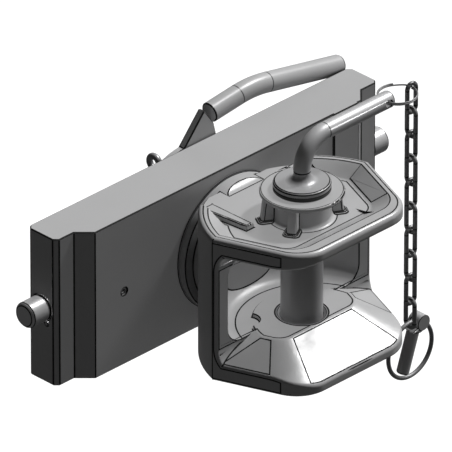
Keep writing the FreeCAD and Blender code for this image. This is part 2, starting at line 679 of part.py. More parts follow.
def boss_rib():
    """Rib between the web and the flange, with a foot that spreads on three sides."""
    half = RIB_WIDTH / 2
    outer = RIB_FOOT_RADIUS - RIB_FOOT_ROUND
    under = BOSS_TOP - FLANGE_THICKNESS
    points = [vec(BOSS_RADIUS / 2, -half, WEB_TOP - 1), vec(outer, -half, WEB_TOP - 1),
              vec(outer, -half, WEB_TOP), vec(FLANGE_RADIUS - 2 * FLANGE_ROUND, -half, under),
              vec(BOSS_RADIUS / 2, -half, under)]
    rib = prism(points, Y_AXIS * RIB_WIDTH)
    upright = [edge for edge in rib.Edges if edge.BoundBox.XMin > FLANGE_RADIUS - 3 * FLANGE_ROUND
               and edge.BoundBox.ZLength > RIB_WIDTH and edge.BoundBox.YLength < 0.01]
    rib = rib.makeFillet(half / 2, upright)
    low = box(vec(BOSS_RADIUS / 2, -half - RIB_FOOT_ROUND, WEB_TOP - 1),
              vec(outer + RIB_FOOT_ROUND, half + RIB_FOOT_ROUND, WEB_TOP + RIB_FOOT_ROUND / 2))
    corners = [edge for edge in low.Edges if abs(edge.BoundBox.XMin - outer - RIB_FOOT_ROUND) < 0.01
               and edge.BoundBox.ZLength > RIB_FOOT_ROUND / 2]
    low = low.makeFillet(half, corners)
    top = [edge for edge in horizontal_edges(low, WEB_TOP + RIB_FOOT_ROUND / 2)
           if edge.BoundBox.XMax > BOSS_RADIUS]
    return rib.fuse(low.makeChamfer(RIB_FOOT_ROUND / 2 - 0.1, top))


def pin_boss():
    """Turned boss with its flange, and ribs from the flange down to the web."""
    ribs = []
    for angle in RIB_ANGLES:
        rib = boss_rib()
        rib.rotate(vec(), Z_AXIS, angle)
        rib.translate(vec(0, -PIN_REACH))
        ribs.append(rib)
    return turned_boss().fuse(ribs)


def shank():
    """Turned shank and rosette behind the jaw."""
    shoulder = HUB_END + RUN_GAP
    root = ROSETTE_FRONT - ROSETTE_ROOT
    neck = ROSETTE_RADIUS - ROSETTE_ROOT_INSET
    outline = [(0, root), (neck, root), (neck, ROSETTE_FRONT - ROSETTE_BEVEL), (ROSETTE_RADIUS, ROSETTE_FRONT),
               (ROSETTE_RADIUS, ROSETTE_BACK), (SHANK_RADIUS, ROSETTE_BACK), (SHANK_RADIUS, shoulder),
               (SHANK_END_RADIUS, shoulder), (SHANK_END_RADIUS, SHANK_END - SHANK_END_CHAMFER),
               (SHANK_END_RADIUS - SHANK_END_CHAMFER, SHANK_END), (0, SHANK_END)]
    return turned([vec(x, y) for x, y in outline], vec(), Y_AXIS)


def web_fillet():
    """Concave sweep from the web's top up the rosette's front face."""
    radius = ROSETTE_FILLET
    start = vec(-ROSETTE_RADIUS, ROSETTE_FRONT - radius, WEB_TOP)
    end = vec(-ROSETTE_RADIUS, ROSETTE_FRONT, WEB_TOP + radius)
    middle = vec(-ROSETTE_RADIUS, ROSETTE_FRONT - radius * (1 - math.sqrt(0.5)),
                 WEB_TOP + radius * (1 - math.sqrt(0.5)))
    sides = Part.makePolygon([end, vec(-ROSETTE_RADIUS, ROSETTE_FRONT + 1, WEB_TOP + radius),
                              vec(-ROSETTE_RADIUS, ROSETTE_FRONT + 1, WEB_TOP - 1),
                              vec(-ROSETTE_RADIUS, ROSETTE_FRONT - radius, WEB_TOP - 1), start])
    loop = Part.Wire([Part.Arc(start, middle, end).toShape()] + sides.Edges)
    sweep = Part.Face(loop).extrude(X_AXIS * 2 * ROSETTE_RADIUS)
    return sweep.common(bar(ROSETTE_RADIUS, vec(0, ROSETTE_FRONT - radius - 1), vec(0, ROSETTE_FRONT)))


def lip_edges(shape):
    """Edges where the mouth's opening meets the jaw's outer skin."""
    outline = jaw_plan(JAW_REAR_RADIUS, 0, 0, JAW_CORNER_RADIUS, 0)
    found = []
    for edge in shape.Edges:
        span = edge.LastParameter - edge.FirstParameter
        points = [edge.valueAt(edge.FirstParameter + span * share) for share in (0.1, 0.5, 0.9)]
        in_mouth = all(abs(point.z) < FLARE_LOWER + 0.01 and point.y < 0.01 - WINDOW_REACH for point in points)
        on_skin = all(outline.distToShape(Part.Vertex(vec(point.x, point.y)))[0] < 0.02 for point in points)
        upright = edge.BoundBox.XLength + edge.BoundBox.YLength < 0.01
        on_wall = abs(points[1].y + WINDOW_REACH) < 0.01
        if in_mouth and on_skin and (on_wall or not upright):
            found.append(edge)
    return found


def clevis_jaw():
    body = jaw_block()
    far = 2 * JAW_FRONT_REACH
    behind = box(vec(-far, ROSETTE_FRONT, -far), vec(far, far, far))
    body = body.cut([mouth_window(), mouth_pocket(), behind])
    body = body.fuse([flared_seat(FLARE_LOWER, -1), flared_seat(FLARE_UPPER, 1)]).removeSplitter()
    body = body.makeFillet(LIP_ROUND, lip_edges(body))
    body = body.cut(web_recess())
    body = body.fuse([gusset(), mirrored(gusset()), pin_boss(), web_fillet(), shank()])
    pin_bore = bar(PIN_BUSH_RADIUS, vec(0, -PIN_REACH, -JAW_BOTTOM - 1), vec(0, -PIN_REACH, BOSS_TOP + 1))
    low, high = cotter_line()
    return body.cut([pin_bore, bar(COTTER_RADIUS, low, high)]).removeSplitter()


def pin_bush(low, high, flare_end):
    """Hardened sleeve for the coupling pin, countersunk where it meets the mouth."""
    inner = PIN_RADIUS + PIN_CLEARANCE
    sink = BUSH_SINK
    points = [(inner, low), (PIN_BUSH_RADIUS, low), (PIN_BUSH_RADIUS, high), (inner, high)]
    if flare_end == high:
        points = points[:3] + [(inner + sink, high), (inner, high - sink)]
    else:
        points = [(inner, low + sink), (inner + sink, low)] + points[1:]
    return turned([vec(r, -PIN_REACH, z) for r, z in points], vec(0, -PIN_REACH), Z_AXIS)


# Coupling pin

def pin_washer():
    disc = Part.makeCylinder(PIN_WASHER_RADIUS, PIN_WASHER_THICKNESS, vec(0, -PIN_REACH, BOSS_TOP))
    hole = Part.makeCylinder(PIN_RADIUS + PIN_CLEARANCE, PIN_WASHER_THICKNESS, vec(0, -PIN_REACH, BOSS_TOP))
    return disc.cut(hole)


def coupling_pin():
    """Pin with its head and the concave neck that takes the handle."""
    neck_start = vec(CONE_RADIUS, -PIN_REACH, HEAD_TOP)
    neck_end = vec(HANDLE_RADIUS, -PIN_REACH, HEAD_TOP + CONE_HEIGHT)
    sag = 0.3 * (CONE_RADIUS - HANDLE_RADIUS)
    neck_middle = (neck_start + neck_end) * 0.5 - vec(sag, 0, sag)
    before = [(0, HEAD_TOP + CONE_HEIGHT), (0, -PIN_TAIL), (PIN_RADIUS - PIN_CHAMFER, -PIN_TAIL),
              (PIN_RADIUS, -PIN_TAIL + PIN_CHAMFER), (PIN_RADIUS, HEAD_BASE), (HEAD_RADIUS, HEAD_BASE),
              (HEAD_RADIUS, HEAD_TOP - HEAD_CHAMFER), (HEAD_RADIUS - HEAD_CHAMFER, HEAD_TOP)]
    points = [neck_end] + [vec(r, -PIN_REACH, z) for r, z in before] + [neck_start]
    neck = Part.Arc(neck_start, neck_middle, neck_end).toShape()
    loop = Part.Wire([Part.makePolygon(points), neck])
    body = Part.Face(loop).revolve(vec(0, -PIN_REACH), Z_AXIS, 360)
    hole = bar(LINCH_HOLE_RADIUS, vec(-PIN_RADIUS - 1, -PIN_REACH, -LINCH_HOLE_DROP),
               vec(PIN_RADIUS + 1, -PIN_REACH, -LINCH_HOLE_DROP))
    return body.cut(hole)


def pin_handle():
    """Rod that rises from the pin's head and bends level."""
    foot = vec(0, -PIN_REACH, HEAD_TOP + CONE_HEIGHT)
    bend = vec(0, -PIN_REACH, HANDLE_TOP)
    radius = min(HANDLE_BEND, HANDLE_TOP - foot.z - 0.5)
    turn_start = bend - Z_AXIS * radius
    turn_end = bend + X_AXIS * radius
    middle = bend + (X_AXIS - Z_AXIS) * (radius * (1 - math.sqrt(0.5)))
    end = vec(HANDLE_REACH, -PIN_REACH, HANDLE_TOP)
    path = Part.Wire([Part.LineSegment(foot, turn_start).toShape(),
                      Part.Arc(turn_start, middle, turn_end).toShape(),
                      Part.LineSegment(turn_end, end).toShape()])
    rod = path.makePipeShell([Part.Wire(Part.makeCircle(HANDLE_RADIUS, foot, Z_AXIS))], True, True)
    tip = [edge for edge in rod.Edges if (edge.CenterOfMass - end).Length < 0.5]
    rod = rod.makeChamfer(HANDLE_CHAMFER, tip)
    sweep = RING_RADIUS - math.sqrt(RING_RADIUS ** 2 - HANDLE_RADIUS ** 2)
    eye = vec(RING_HOLE_REACH, -PIN_REACH, HANDLE_TOP)
    across = Y_AXIS * (HANDLE_RADIUS + 1)
    return rod.cut(bar(RING_WIRE + sweep + HINGE_GAP, eye - across, eye + across))


# Split ring, chain and linch pin

def handle_ring():
    return Part.makeTorus(RING_RADIUS, RING_WIRE, vec(RING_CENTRE, -PIN_REACH, HANDLE_TOP), Z_AXIS)


def link_top(number):
    """Height of the middle of a link's top wire."""
    first = HANDLE_TOP + RING_WIRE + LINK_WIRE + HINGE_GAP
    return first - (number - 1) * (LINK_INNER_LENGTH - HINGE_GAP)


def chain_link(number):
    """Oval link, turned a quarter from the one above."""
    half = LINK_OUTER_WIDTH / 2 - LINK_WIRE
    top = link_top(number) - half
    low = link_top(number) - LINK_INNER_LENGTH - 2 * LINK_WIRE + half
    across = X_AXIS if number % 2 else Y_AXIS
    centre = vec(CHAIN_X, -PIN_REACH)

    def place(side, height, lift=0.0):
        return centre + across * side + Z_AXIS * (height + lift)

    path = Part.Wire([Part.Arc(place(-half, top), place(0, top, half), place(half, top)).toShape(),
                      Part.LineSegment(place(half, top), place(half, low)).toShape(),
                      Part.Arc(place(half, low), place(0, low, -half), place(-half, low)).toShape(),
                      Part.LineSegment(place(-half, low), place(-half, top)).toShape()])
    section = Part.Wire(Part.makeCircle(LINK_WIRE, place(-half, top), Z_AXIS))
    return path.makePipeShell([section], True, True)


def linch_ring_centre():
    """Centre of the linch pin's ring, hung in the last link."""
    last_wire = link_top(LINK_COUNT) - LINK_INNER_LENGTH - 2 * LINK_WIRE
    top = last_wire + LINK_WIRE + HINGE_GAP + LINCH_RING_WIRE
    return vec(CHAIN_X, -PIN_REACH, top - LINCH_RING_RADIUS)


def linch_ring():
    return Part.makeTorus(LINCH_RING_RADIUS, LINCH_RING_WIRE, linch_ring_centre(), Y_AXIS)


def linch_pin():
    """Short pin with a lug beside its head, which the ring passes through."""
    angle = math.radians(LINCH_LUG_ANGLE)
    centre = linch_ring_centre()
    out = vec(math.sin(angle), 0, math.cos(angle))
    along = vec(math.cos(angle), 0, -math.sin(angle))
    eye = centre + out * LINCH_RING_RADIUS
    tilt = math.radians(LINCH_TILT)
    down = vec(-math.sin(tilt), 0, -math.cos(tilt))
    head = eye - vec(LINCH_LUG_RADIUS, 0, LINCH_LUG_RADIUS)
    shaft = bar(LINCH_RADIUS, head, head + down * LINCH_LENGTH)
    tip = [edge for edge in shaft.Edges if (edge.CenterOfMass - head - down * LINCH_LENGTH).Length < 0.5]
    shaft = shaft.makeChamfer(LINCH_CHAMFER, tip)
    half_width = Y_AXIS * (LINCH_LUG_WIDTH / 2)
    lug = bar(LINCH_LUG_RADIUS, eye - half_width, eye + half_width)
    side = vec(math.cos(tilt), 0, -math.sin(tilt)) * LINCH_RADIUS
    inset = half_width - Y_AXIS
    neck = prism([head - side - inset, head + side - inset, head + side - down * LINCH_NECK_DROP - inset,
                  eye - inset, head - down * LINCH_NECK_DROP - inset], inset * 2)
    reach = along * 2 * LINCH_LUG_RADIUS
    hole = bar(LINCH_RING_WIRE + LINCH_RING_PLAY, eye - reach, eye + reach)
    return shaft.fuse([lug, neck]).cut(hole)


def named_parts():
    """Every piece with its name."""
    parts = {
        "slide_plate": slide_plate(),
        "swivel_bush": swivel_bush(),
        "hub_circlip": hub_circlip(),
        "left_end_screw": mirrored(end_screw()),
        "right_end_screw": end_screw(),
        "face_screw": face_screw(),
        "lever_stop": lever_stop(),
        "lever_spring": lever_spring(),
        "left_lock_pin": mirrored(lock_pin()),
        "right_lock_pin": lock_pin(),
        "left_cam_peg": mirrored(cam_peg()),
        "right_cam_peg": cam_peg(),
        "lever_plate": lever_plate(),
        "lever_rod": lever_rod(),
        "clevis_jaw": clevis_jaw(),
        "thrust_washer": thrust_washer(),
        "shank_washer": shank_washer(),
        "shank_nut": shank_nut(),
        "cotter_pin": cotter_pin(),
        "upper_pin_bush": pin_bush(SEAT_HEIGHT, BOSS_TOP, SEAT_HEIGHT),
        "lower_pin_bush": pin_bush(-JAW_BOTTOM, -SEAT_HEIGHT, -SEAT_HEIGHT),
        "pin_washer": pin_washer(),
        "coupling_pin": coupling_pin(),
        "pin_handle": pin_handle(),
        "handle_ring": handle_ring(),
        "linch_ring": linch_ring(),
        "linch_pin": linch_pin(),
    }
    for number in range(1, LINK_COUNT + 1):
        parts[f"chain_link_{number:02d}"] = chain_link(number)
    return parts


os.makedirs("parts", exist_ok=True)
for name, shape in named_parts().items():
    shape.exportStep(os.path.join("parts", name + ".step"))
    print(name, len(shape.Solids), shape.isValid(), round(shape.Volume, 1))
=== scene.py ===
import bmesh
import bpy
import json
import math
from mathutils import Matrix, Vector
from mathutils.bvhtree import BVHTree


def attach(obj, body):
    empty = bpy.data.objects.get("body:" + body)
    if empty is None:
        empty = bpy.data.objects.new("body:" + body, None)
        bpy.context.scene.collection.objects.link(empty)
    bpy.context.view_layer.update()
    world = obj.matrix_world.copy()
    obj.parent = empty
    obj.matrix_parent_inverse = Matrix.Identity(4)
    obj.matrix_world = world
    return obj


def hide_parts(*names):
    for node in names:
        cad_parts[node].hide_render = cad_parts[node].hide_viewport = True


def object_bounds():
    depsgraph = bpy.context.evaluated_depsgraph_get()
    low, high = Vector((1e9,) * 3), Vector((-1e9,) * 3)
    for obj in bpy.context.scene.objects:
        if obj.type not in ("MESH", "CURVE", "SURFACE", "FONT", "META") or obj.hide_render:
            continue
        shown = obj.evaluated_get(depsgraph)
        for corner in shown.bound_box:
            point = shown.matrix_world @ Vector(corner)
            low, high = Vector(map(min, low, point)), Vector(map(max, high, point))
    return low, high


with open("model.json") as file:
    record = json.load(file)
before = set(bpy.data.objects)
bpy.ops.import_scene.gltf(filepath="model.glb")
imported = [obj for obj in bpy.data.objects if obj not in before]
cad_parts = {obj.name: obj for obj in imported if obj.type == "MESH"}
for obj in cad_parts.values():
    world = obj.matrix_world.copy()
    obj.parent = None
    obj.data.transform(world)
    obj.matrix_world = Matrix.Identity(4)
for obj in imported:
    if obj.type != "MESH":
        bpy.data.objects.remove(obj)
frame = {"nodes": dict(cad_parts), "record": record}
cad_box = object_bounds()
MM = 0.001

# Setting
# The coupling hangs where its ladder would hold it, well above a plain pale floor. Two lamps shine from the
# upper right, one of them without shadows, so the tops are light and the sides towards the viewer stay dark.
VIEW_TURN = math.radians(-45)
VIEW_RISE = math.radians(30)
VIEW_WIDTH = 0.3278
VIEW_AIM = Vector((0.0116, -0.0110, 0.0))
LENS = 1400.0
FLOOR_DROP = 0.30
FLOOR_HALF = 6.0
FLOOR_SHADE = 0.10
FLOOR_WHITE = 0.85
FLOOR_GLOW = 0.3
LAMP_TOWARDS = Vector((0.62, -0.11, 0.78))
LAMP_SPREAD = math.radians(8)
KEY_STRENGTH = 1.2
SOFT_STRENGTH = 2.7
AMBIENT = 0.025
GLOSS_LOW = 0.04
GLOSS_FULL_AT = 0.9

bpy.context.scene.view_settings.view_transform = "Standard"

camera_data = bpy.data.cameras.new("camera")
camera_data.lens = LENS
camera_data.clip_start = 0.1
camera_data.clip_end = 40.0
camera = bpy.data.objects.new("camera", camera_data)
bpy.context.collection.objects.link(camera)
towards_view = Vector((math.sin(VIEW_TURN) * math.cos(VIEW_RISE), -math.cos(VIEW_TURN) * math.cos(VIEW_RISE),
                       math.sin(VIEW_RISE)))
view_distance = VIEW_WIDTH / 2 / (camera_data.sensor_width / 2 / LENS)
camera.location = VIEW_AIM + towards_view * view_distance
camera.rotation_mode = "QUATERNION"
camera.rotation_quaternion = (-towards_view).to_track_quat("-Z", "Y")
bpy.context.scene.camera = camera


def sun(name, strength, shadow):
    """Distant lamp that shines from the upper right."""
    data = bpy.data.lights.new(name, "SUN")
    data.energy = strength
    data.angle = LAMP_SPREAD
    data.use_shadow = shadow
    lamp = bpy.data.objects.new(name, data)
    lamp.rotation_mode = "QUATERNION"
    lamp.rotation_quaternion = (-LAMP_TOWARDS).to_track_quat("-Z", "Y")
    bpy.context.collection.objects.link(lamp)


def grey(shade):
    """Neutral colour with full alpha."""
    return shade, shade, shade, 1


sun("key_lamp", KEY_STRENGTH, True)
sun("soft_lamp", SOFT_STRENGTH, False)

world = bpy.data.worlds.new("studio")
bpy.context.scene.world = world
world.use_nodes = True
world_nodes = world.node_tree.nodes
world_nodes.clear()
world_link = world.node_tree.links.new
rays = world_nodes.new("ShaderNodeLightPath")
direction = world_nodes.new("ShaderNodeTexCoord")
toward_lamp = world_nodes.new("ShaderNodeVectorMath")
toward_lamp.operation = "DOT_PRODUCT"
toward_lamp.inputs[1].default_value = LAMP_TOWARDS.normalized()
world_link(direction.outputs["Generated"], toward_lamp.inputs[0])
studio_ramp = world_nodes.new("ShaderNodeValToRGB")
studio_ramp.color_ramp.elements[0].position = 0.0
studio_ramp.color_ramp.elements[0].color = grey(GLOSS_LOW)
studio_ramp.color_ramp.elements[1].position = GLOSS_FULL_AT
studio_ramp.color_ramp.elements[1].color = grey(1)
world_link(toward_lamp.outputs["Value"], studio_ramp.inputs["Fac"])
ambient = world_nodes.new("ShaderNodeMix")
ambient.data_type = "RGBA"
ambient.inputs["A"].default_value = grey(AMBIENT)
world_link(rays.outputs["Is Glossy Ray"], ambient.inputs["Factor"])
world_link(studio_ramp.outputs["Color"], ambient.inputs["B"])
backdrop = world_nodes.new("ShaderNodeMix")
backdrop.data_type = "RGBA"
backdrop.inputs["B"].default_value = grey(1)
world_link(rays.outputs["Is Camera Ray"], backdrop.inputs["Factor"])
world_link(ambient.outputs["Result"], backdrop.inputs["A"])
sky = world_nodes.new("ShaderNodeBackground")
world_link(backdrop.outputs["Result"], sky.inputs["Color"])
world_out = world_nodes.new("ShaderNodeOutputWorld")
world_link(sky.outputs["Background"], world_out.inputs["Surface"])

floor_mesh = bpy.data.meshes.new("floor")
floor_z = cad_box[0].z - FLOOR_DROP
floor_mesh.from_pydata([(-FLOOR_HALF, -FLOOR_HALF, floor_z), (FLOOR_HALF, -FLOOR_HALF, floor_z),
                        (FLOOR_HALF, FLOOR_HALF, floor_z), (-FLOOR_HALF, FLOOR_HALF, floor_z)], [],
                       [(0, 1, 2, 3)])
floor = bpy.data.objects.new("floor", floor_mesh)
bpy.context.collection.objects.link(floor)
floor_paint = bpy.data.materials.new("floor_paint")
floor_paint.use_nodes = True
floor_tree = floor_paint.node_tree
floor_shader = floor_tree.nodes["Principled BSDF"]
floor_shader.inputs["Roughness"].default_value = 0.9
floor_shader.inputs["Specular IOR Level"].default_value = 0.0
floor_rays = floor_tree.nodes.new("ShaderNodeLightPath")
floor_colour = floor_tree.nodes.new("ShaderNodeMix")
floor_colour.data_type = "RGBA"
floor_colour.inputs["A"].default_value = grey(FLOOR_SHADE)
floor_colour.inputs["B"].default_value = grey(FLOOR_WHITE)
floor_tree.links.new(floor_rays.outputs["Is Camera Ray"], floor_colour.inputs["Factor"])
floor_tree.links.new(floor_colour.outputs["Result"], floor_shader.inputs["Base Color"])
floor_lift = floor_tree.nodes.new("ShaderNodeMath")
floor_lift.operation = "MULTIPLY"
floor_lift.inputs[1].default_value = FLOOR_GLOW
floor_tree.links.new(floor_rays.outputs["Is Camera Ray"], floor_lift.inputs[0])
floor_shader.inputs["Emission Color"].default_value = grey(1)
floor_tree.links.new(floor_lift.outputs["Value"], floor_shader.inputs["Emission Strength"])
floor_mesh.materials.append(floor_paint)

# Slide plate
# A thick flame-cut steel plate, machined to thin tongues at both ends and painted a plain grey. Its paint
# is slightly mottled, and every edge is broken by a narrow bevel painted near black as a line of painted
# shade.
PAINT_GREY = (0.41, 0.41, 0.413)
LINE_DARK = 0.93
NO_REPEAT = 9.0


def group(name, inputs, outputs):
    """Empty shader node group with named sockets."""
    tree = bpy.data.node_groups.new(name, "ShaderNodeTree")
    for label, kind, value in inputs:
        socket = tree.interface.new_socket(name=label, in_out="INPUT", socket_type=kind)
        socket.default_value = value
    for label, kind in outputs:
        tree.interface.new_socket(name=label, in_out="OUTPUT", socket_type=kind)
    return tree, tree.nodes.new("NodeGroupInput"), tree.nodes.new("NodeGroupOutput")


def maths(tree, operation, first, second=0.0, third=0.0, clamp=False):
    """Math node on sockets or numbers; gives its output socket."""
    node = tree.nodes.new("ShaderNodeMath")
    node.operation = operation
    node.use_clamp = clamp
    for slot, value in zip(node.inputs, (first, second, third)):
        if isinstance(value, (int, float)):
            slot.default_value = value
        else:
            tree.links.new(value, slot)
    return node.outputs["Value"]


def scaled(tree, colour, factor):
    """Colour made brighter or darker by a factor."""
    node = tree.nodes.new("ShaderNodeVectorMath")
    node.operation = "SCALE"
    tree.links.new(colour, node.inputs[0])
    tree.links.new(factor, node.inputs["Scale"])
    return node.outputs["Vector"]


def place_along(tree, given):
    """How far a point of the piece lies along the group's Along."""
    place = tree.nodes.new("ShaderNodeTexCoord")
    reach = tree.nodes.new("ShaderNodeVectorMath")
    reach.operation = "DOT_PRODUCT"
    tree.links.new(place.outputs["Object"], reach.inputs[0])
    tree.links.new(given.outputs["Along"], reach.inputs[1])
    return reach.outputs["Value"]


def mottled_finish():
    """Blotches, fine grain and faint rubbed patches of a painted or machined steel surface."""
    tree, given, out = group("mottled_finish",
                             [("Colour", "NodeSocketColor", (0.4, 0.4, 0.4, 1)),
                              ("Blotch", "NodeSocketFloat", 0.1), ("Blotch Scale", "NodeSocketFloat", 40.0),
                              ("Grain Scale", "NodeSocketFloat", 900.0),
                              ("Roughness", "NodeSocketFloat", 0.45), ("Rubbed", "NodeSocketFloat", 0.1)],
                             [("Colour", "NodeSocketColor"), ("Roughness", "NodeSocketFloat"),
                              ("Height", "NodeSocketFloat")])
    place = tree.nodes.new("ShaderNodeTexCoord")
    link = tree.links.new
    blotches = tree.nodes.new("ShaderNodeTexNoise")
    blotches.inputs["Detail"].default_value = 5
    link(place.outputs["Object"], blotches.inputs["Vector"])
    link(given.outputs["Blotch Scale"], blotches.inputs["Scale"])
    grain = tree.nodes.new("ShaderNodeTexNoise")
    grain.inputs["Detail"].default_value = 3
    link(place.outputs["Object"], grain.inputs["Vector"])
    link(given.outputs["Grain Scale"], grain.inputs["Scale"])
    around = maths(tree, "SUBTRACT", blotches.outputs["Fac"], 0.5)
    swing = maths(tree, "MULTIPLY", around, given.outputs["Blotch"])
    speck = maths(tree, "SUBTRACT", grain.outputs["Fac"], 0.5)
    fine = maths(tree, "MULTIPLY", speck, given.outputs["Blotch"])
    bright = maths(tree, "ADD", maths(tree, "ADD", swing, fine), 1.0)
    link(scaled(tree, given.outputs["Colour"], bright), out.inputs["Colour"])
    rubbed = maths(tree, "MULTIPLY", maths(tree, "MULTIPLY", around, 2.5), given.outputs["Rubbed"])
    link(maths(tree, "ADD", rubbed, given.outputs["Roughness"]), out.inputs["Roughness"])
    grain_part = maths(tree, "MULTIPLY", grain.outputs["Fac"], 0.5)
    link(maths(tree, "ADD", grain_part, blotches.outputs["Fac"]), out.inputs["Height"])
    return tree


def ring_line():
    """Mask of a thin line where a plane across Along, repeated every Pitch, cuts the surface."""
    tree, given, out = group("ring_line",
                             [("Along", "NodeSocketVector", (0, 0, 1)), ("Place", "NodeSocketFloat", 0.0),
                              ("Pitch", "NodeSocketFloat", NO_REPEAT), ("Width", "NodeSocketFloat", MM)],
                             [("Line", "NodeSocketFloat")])
    half = maths(tree, "MULTIPLY", given.outputs["Pitch"], 0.5)
    below = maths(tree, "MULTIPLY", half, -1.0)
    offset = maths(tree, "SUBTRACT", place_along(tree, given), given.outputs["Place"])
    wrapped = maths(tree, "WRAP", offset, half, below)
    far = maths(tree, "DIVIDE", maths(tree, "ABSOLUTE", wrapped), given.outputs["Width"])
    tree.links.new(maths(tree, "SUBTRACT", 1.5, maths(tree, "MULTIPLY", far, 2.0), clamp=True),
                   out.inputs["Line"])
    return tree


def tool_marks():
    """Height of the fine rings that turning or grinding leaves across Along."""
    tree, given, out = group("tool_marks",
                             [("Along", "NodeSocketVector", (0, 0, 1)), ("Scale", "NodeSocketFloat", 900.0)],
                             [("Height", "NodeSocketFloat")])
    marks = tree.nodes.new("ShaderNodeTexNoise")
    marks.noise_dimensions = "1D"
    marks.inputs["Detail"].default_value = 2
    tree.links.new(place_along(tree, given), marks.inputs["W"])
    tree.links.new(given.outputs["Scale"], marks.inputs["Scale"])
    tree.links.new(marks.outputs["Fac"], out.inputs["Height"])
    return tree


MOTTLED = mottled_finish()
RING_LINE = ring_line()
TOOL_MARKS = tool_marks()
BUMP_HEIGHT = 0.3 * MM


def metal(name, colour, metallic, roughness, specular, bump, lines=(), marks=None, **settings):
    """Material with the mottled finish. Each of lines is (axis, place, pitch), and marks is an axis."""
    made = bpy.data.materials.new(name)
    made.use_nodes = True
    tree = made.node_tree
    shader = tree.nodes["Principled BSDF"]
    finish = tree.nodes.new("ShaderNodeGroup")
    finish.node_tree = MOTTLED
    finish.inputs["Colour"].default_value = (*colour, 1)
    finish.inputs["Roughness"].default_value = roughness
    for label, value in settings.items():
        finish.inputs[label.replace("_", " ")].default_value = value
    shader.inputs["Metallic"].default_value = metallic
    shader.inputs["Specular IOR Level"].default_value = specular
    paint = finish.outputs["Colour"]
    for along, place, pitch in lines:
        line = tree.nodes.new("ShaderNodeGroup")
        line.node_tree = RING_LINE
        line.inputs["Along"].default_value = along
        line.inputs["Place"].default_value = place
        line.inputs["Pitch"].default_value = pitch
        kept = maths(tree, "SUBTRACT", 1.0, maths(tree, "MULTIPLY", line.outputs["Line"], LINE_DARK))
        paint = scaled(tree, paint, kept)
    tree.links.new(paint, shader.inputs["Base Color"])
    tree.links.new(finish.outputs["Roughness"], shader.inputs["Roughness"])
    height = finish.outputs["Height"]
    if marks:
        turned = tree.nodes.new("ShaderNodeGroup")
        turned.node_tree = TOOL_MARKS
        turned.inputs["Along"].default_value = marks
        height = maths(tree, "ADD", maths(tree, "MULTIPLY", height, 0.4), turned.outputs["Height"])
    relief = tree.nodes.new("ShaderNodeBump")
    relief.inputs["Strength"].default_value = bump
    relief.inputs["Distance"].default_value = BUMP_HEIGHT
    tree.links.new(height, relief.inputs["Height"])
    tree.links.new(relief.outputs["Normal"], shader.inputs["Normal"])
    return made


def dress(node, made):
    """Gives a carried-over solid its finished material."""
    mesh = frame["nodes"][node].data
    if not mesh.materials:
        mesh.materials.append(made)
    for index in range(len(mesh.materials)):
        mesh.materials[index] = made


EDGE_BREAK = 1.4 * MM
FLAT_AREA = 40 * MM ** 2
STRAY = 0.2 * MM
CREASE = math.radians(20)
MERGE_DISTANCE = 0.002 * MM
SAME_PLANE = math.radians(0.1)
NORMAL_WEIGHT = 80
body_of = {node: body for body, nodes in frame["record"]["behaviour"]["bodies"].items() for node in nodes}
# Near-black material for the narrow edge strips: painted shade lines along every edge and crease.
painted_edge_shade = metal("painted_edge_shade", (0.012, 0.012, 0.012), 0.0, 0.7, 0.15, 0.1, Blotch=0.4)


def refine(node, made, form, broke=EDGE_BREAK):
    """Merged copy of a solid in its place, with every edge broken by a narrow strip painted near black as a
    line of painted shade.

    form is cast where flats run smoothly into fillets, plate where they don't, and turned for round pieces.
    """
    mesh = frame["nodes"][node].data.copy()
    while len(mesh.materials) < 2:
        mesh.materials.append(made)
    mesh.materials[0] = made
    mesh.materials[1] = painted_edge_shade
    shell = bmesh.new()
    shell.from_mesh(mesh)
    bmesh.ops.remove_doubles(shell, verts=shell.verts, dist=MERGE_DISTANCE)
    skin = BVHTree.FromBMesh(shell)
    bmesh.ops.dissolve_limit(shell, angle_limit=SAME_PLANE, verts=shell.verts, edges=shell.edges)
    shell.normal_update()
    flats = set()
    for face in shell.faces:
        face.smooth = True
        if form != "turned" and face.calc_area() > FLAT_AREA and (len(face.verts) > 4 or form == "plate"):
            face.smooth = False
            flats.add(face)
    edges = []
    for edge in shell.edges:
        if len(edge.link_faces) == 2:
            turn = edge.link_faces[0].normal.angle(edge.link_faces[1].normal, 0.0)
            ends = len(flats.intersection(edge.link_faces)) == 1 and form == "cast"
            if turn > CREASE or ends:
                edges.append(edge)
    bmesh.ops.bevel(shell, geom=edges, offset=broke, offset_type="WIDTH", segments=1, profile=0.5,
                    affect="EDGES", clamp_overlap=False, material=1, loop_slide=True)
    for vert in shell.verts:
        near, _, _, gap = skin.find_nearest(vert.co)
        if gap > max(STRAY, broke / 2):
            vert.co = near
    shell.to_mesh(mesh)
    shell.free()
    mesh.set_sharp_from_angle(angle=CREASE)
    piece = bpy.data.objects.new(f"{node}_finished", mesh)
    bpy.context.collection.objects.link(piece)
    smooth = piece.modifiers.new("smooth", "WEIGHTED_NORMAL")
    smooth.keep_sharp = True
    smooth.weight = NORMAL_WEIGHT
    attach(piece, body_of[node])
    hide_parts(node)


plate_paint = metal("plate_paint", PAINT_GREY, 0.0, 0.5, 0.3, 0.12, Blotch=0.08, Blotch_Scale=22.0)
refine("slide_plate", plate_paint, "plate")

# Small screws and the lever's stop
# Zinc-plated grub and grease screws, sunk into their holes in the plate's ends and front face, and a short
# plated post in the plate's back, under the lever's disc.
SCREW_BREAK = 0.6 * MM
screw_zinc = metal("screw_zinc", (0.30, 0.30, 0.305), 0.3, 0.4, 0.5, 0.1, Blotch=0.2)
for node in ("left_end_screw", "right_end_screw", "face_screw", "lever_stop"):
    refine(node, screw_zinc, "turned", SCREW_BREAK)

